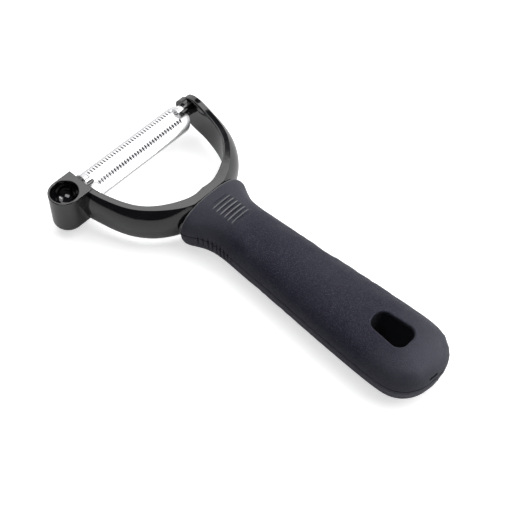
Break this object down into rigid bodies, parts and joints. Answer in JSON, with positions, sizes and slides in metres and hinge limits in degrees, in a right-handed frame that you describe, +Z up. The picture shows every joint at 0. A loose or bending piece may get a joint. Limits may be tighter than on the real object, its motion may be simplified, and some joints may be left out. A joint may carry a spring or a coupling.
{
  "type": "vegetable peeler",
  "caption": "Y-shaped vegetable peeler: soft grip with a hanging hole, hard yoke with a potato-eye remover, and a serrated slotted blade that swivels between the arms.",
  "frame": {"origin": "on the flat under the grip, midway across it, 30.5 mm behind the grip's front face", "axes": "+X across the peeler, to the right seen from the butt; +Y from the butt of the grip to the blade; +Z up, out of the side with the crown ribs and the mouth of the remover's bowl"},
  "size_m": [0.0846, 0.1716, 0.0226],
  "materials": {
    "yoke": "gloss black",
    "grip": "matte, fine grain",
    "blade": "polished stainless",
    "pins": "bright"
  },
  "bodies": {
    "handle": {"yoke": "yoke", "grip": "grip", "pivot_pin_left": "pins", "pivot_pin_right": "pins"},
    "blade": {"blade": "blade"}
  },
  "joints": [
    {"name": "blade_swivel", "type": "hinge", "parent": "handle", "child": "blade", "pos_m": [0, 0.0757, 0.0158], "axis": [1, 0, 0], "range_deg": [-25, 25]}
  ]
}
